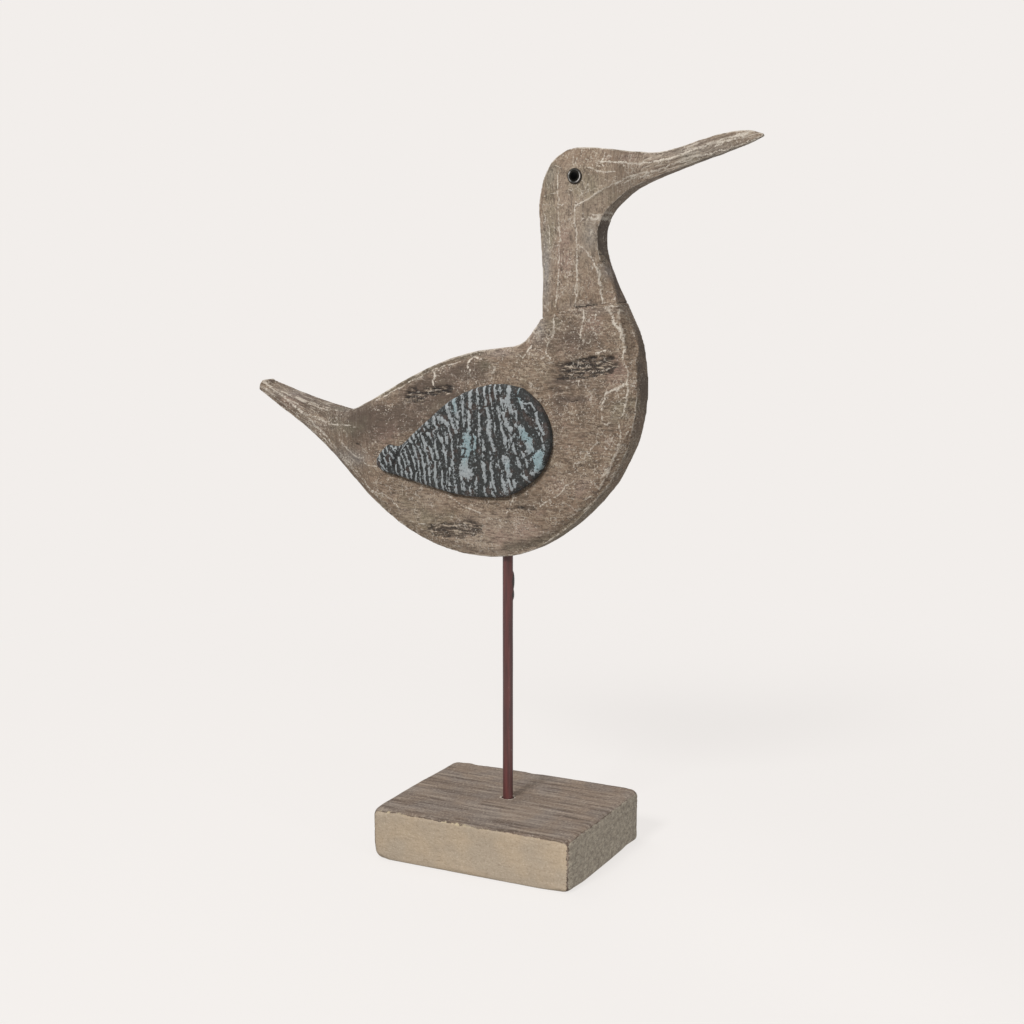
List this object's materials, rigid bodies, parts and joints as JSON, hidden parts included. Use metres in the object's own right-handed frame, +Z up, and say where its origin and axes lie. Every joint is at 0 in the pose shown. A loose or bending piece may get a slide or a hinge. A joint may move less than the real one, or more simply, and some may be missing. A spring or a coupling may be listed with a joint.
{
  "type": "carved wooden shorebird statue on a rod and block",
  "caption": "Whittled wooden shorebird with a long upturned beak and glued-on wings, standing on a thin rod in a worn wooden block.",
  "frame": {"origin": "on the block's flat underside, straight below the rod", "axes": "+X towards the beak, +Y across the bird away from its left side, +Z up"},
  "size_m": [0.2664, 0.086, 0.3481],
  "materials": {
    "block_wood": "worn, bare, weathered",
    "painted_rod": "dark red-brown, satin",
    "carved_wood": "grey-brown wash rubbed pale on the ridges",
    "wing_paint": "charcoal paint, dry-brushed pale blue-grey",
    "eye": "black dome in a light grey ring"
  },
  "bodies": {
    "root": {"base_block": "block_wood", "rod": "painted_rod", "body": "carved_wood", "head_neck": "carved_wood", "wing_left": "wing_paint", "wing_right": "wing_paint", "eye_left": "eye", "eye_right": "eye"}
  },
  "joints": []
}
